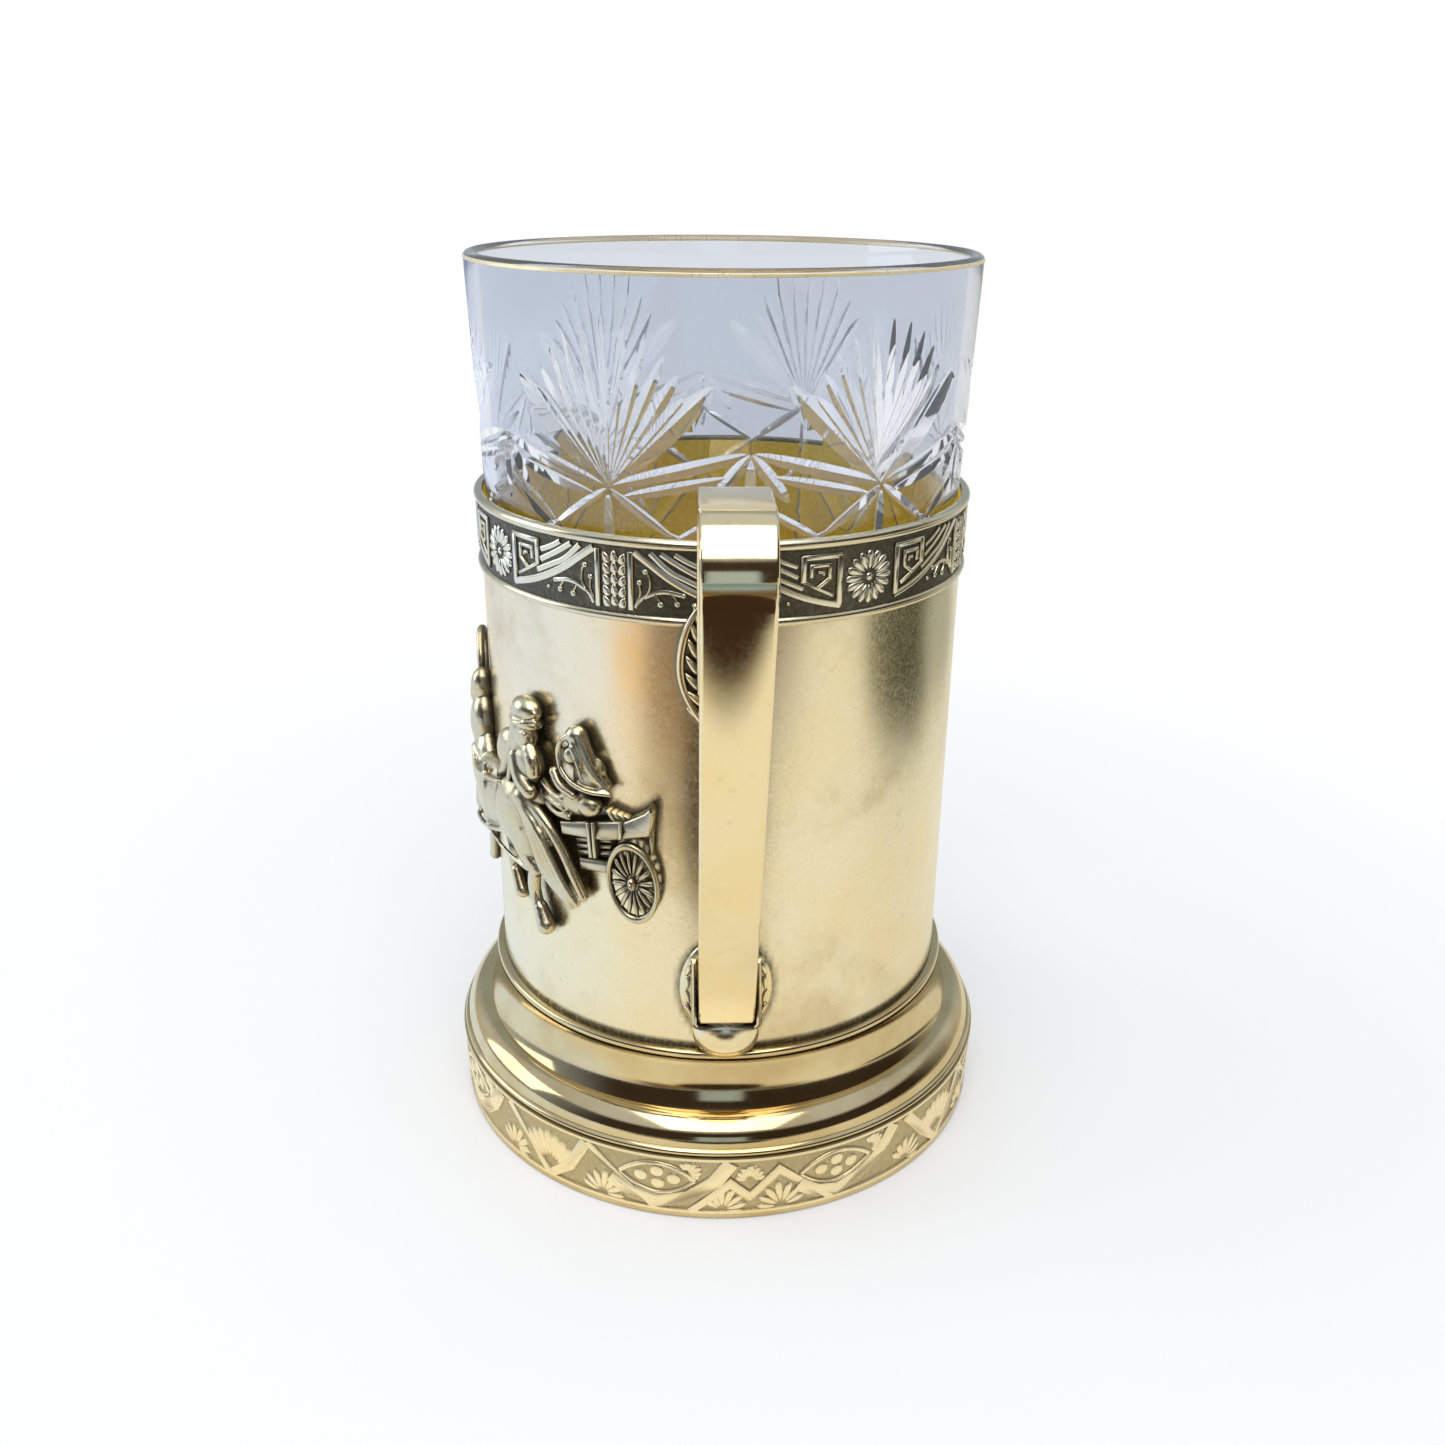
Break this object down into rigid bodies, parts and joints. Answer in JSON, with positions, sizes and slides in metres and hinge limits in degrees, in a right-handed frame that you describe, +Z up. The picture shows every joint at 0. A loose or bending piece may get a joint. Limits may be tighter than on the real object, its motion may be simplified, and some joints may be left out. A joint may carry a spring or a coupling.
{
  "type": "podstakannik tea glass holder",
  "caption": "Drinking glass with a gilt rim line standing loose in a metal holder with a turned foot, ornamented collar, relief and strap handle.",
  "frame": {"origin": "on the cup's axis, in the plane that the foot rests on", "axes": "+Z up along the cup's axis, handle along -Y, relief on the -X side"},
  "size_m": [0.0864, 0.1066, 0.133],
  "materials": {
    "satin_gilt": "satin, pale gilt over nickel silver",
    "gilt_inside": "bright gilt",
    "polished_wire": "polished",
    "oxidised_strip": "oxidised ground, rubbed high points",
    "polished_gilt": "mirror polished",
    "engraved_band": "satin with shaded ground",
    "handle_metal": "polished, fine brush marks",
    "cast_mount": "cast, polished high points, darkened recesses",
    "relief_metal": "cast, oxidised recesses",
    "clear_glass": "clear cut glass",
    "gilt_line": "fired gilt line"
  },
  "bodies": {
    "holder": {"cup_shell": "satin_gilt", "cup_floor": "gilt_inside", "rim_wire": "polished_wire", "frieze_strip": "oxidised_strip", "lower_wire": "polished_wire", "neck_ring": "polished_gilt", "foot_shell": "polished_gilt", "foot_fillet_wire": "polished_gilt", "foot_band": "engraved_band", "foot_lip": "polished_gilt", "handle_strap": "handle_metal", "handle_leaf": "cast_mount", "handle_socket": "cast_mount", "cart_relief": "relief_metal"},
    "glass": {"glass_tumbler": "clear_glass", "gilt_rim_line": "gilt_line"}
  },
  "joints": [
    {"name": "glass_lift", "type": "slide", "parent": "holder", "child": "glass", "axis": [0, 0, 1], "range_m": [0, 0.09]}
  ]
}
